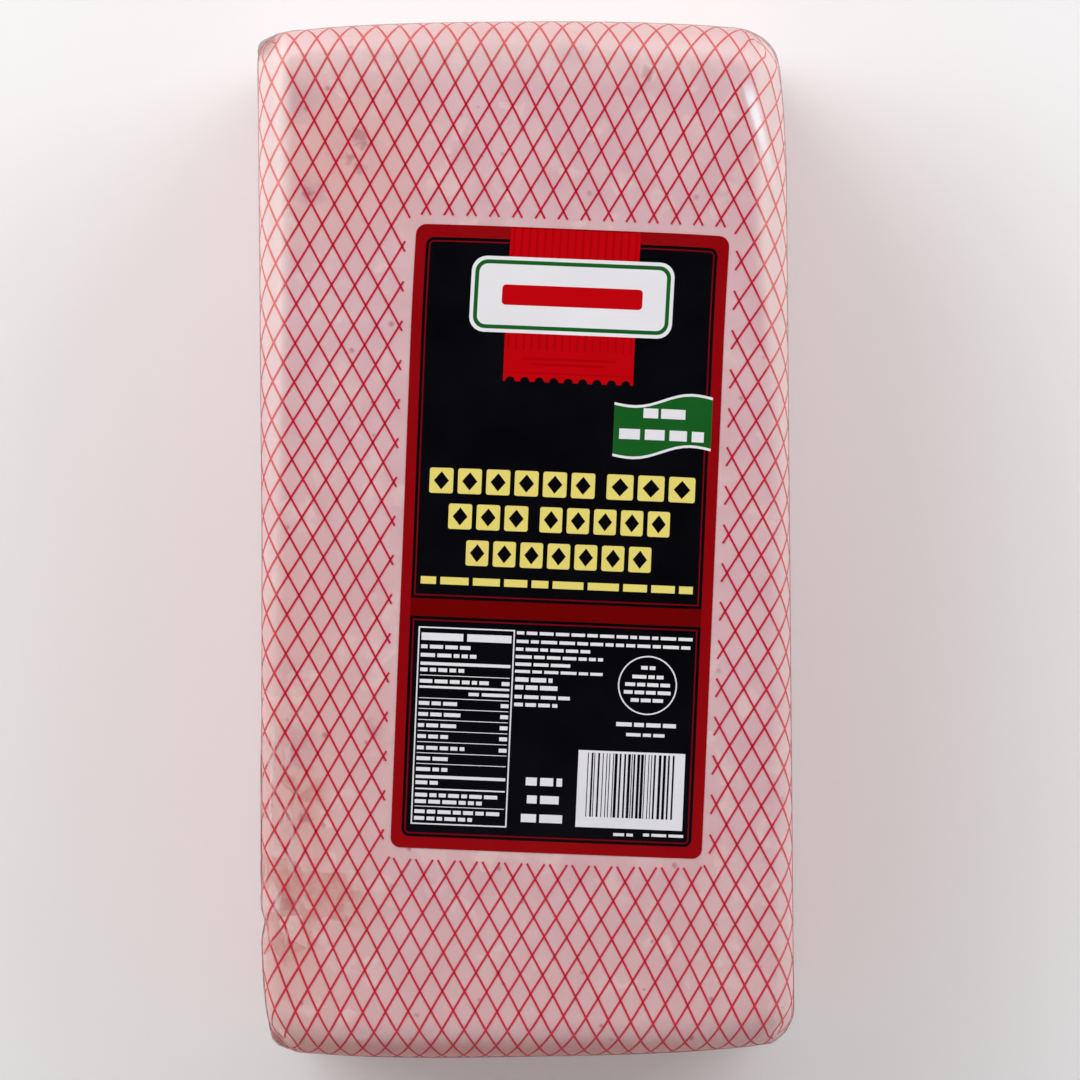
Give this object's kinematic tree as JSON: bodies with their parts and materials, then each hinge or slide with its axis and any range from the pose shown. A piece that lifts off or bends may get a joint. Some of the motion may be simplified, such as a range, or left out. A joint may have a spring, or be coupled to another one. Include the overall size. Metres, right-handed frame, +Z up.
{
  "type": "whole cooked ham block in a sealed film pack",
  "caption": "Cooked ham pressed into a rounded rectangular block and sealed in clear film printed with a red diamond net and a tall dark label panel.",
  "frame": {"origin": "middle of the flat back that the pack rests on", "axes": "+X to the right across the label face, +Y along the pack to the end that carries the top of the label, +Z up out of the label face"},
  "size_m": [0.1681, 0.3233, 0.1087],
  "materials": {
    "sealed_ham": "pale mottled pink meat seen through glossy clear film",
    "net_print": "thin dark red printed lines under glossy film",
    "label_print": "glossy printed film in black, dark red, green, cream and white",
    "clear_film": "clear thin film with a wet gloss"
  },
  "bodies": {
    "root": {"pack": "sealed_ham", "label": "label_print", "head_seal": "clear_film", "foot_seal": "clear_film"}
  },
  "joints": []
}
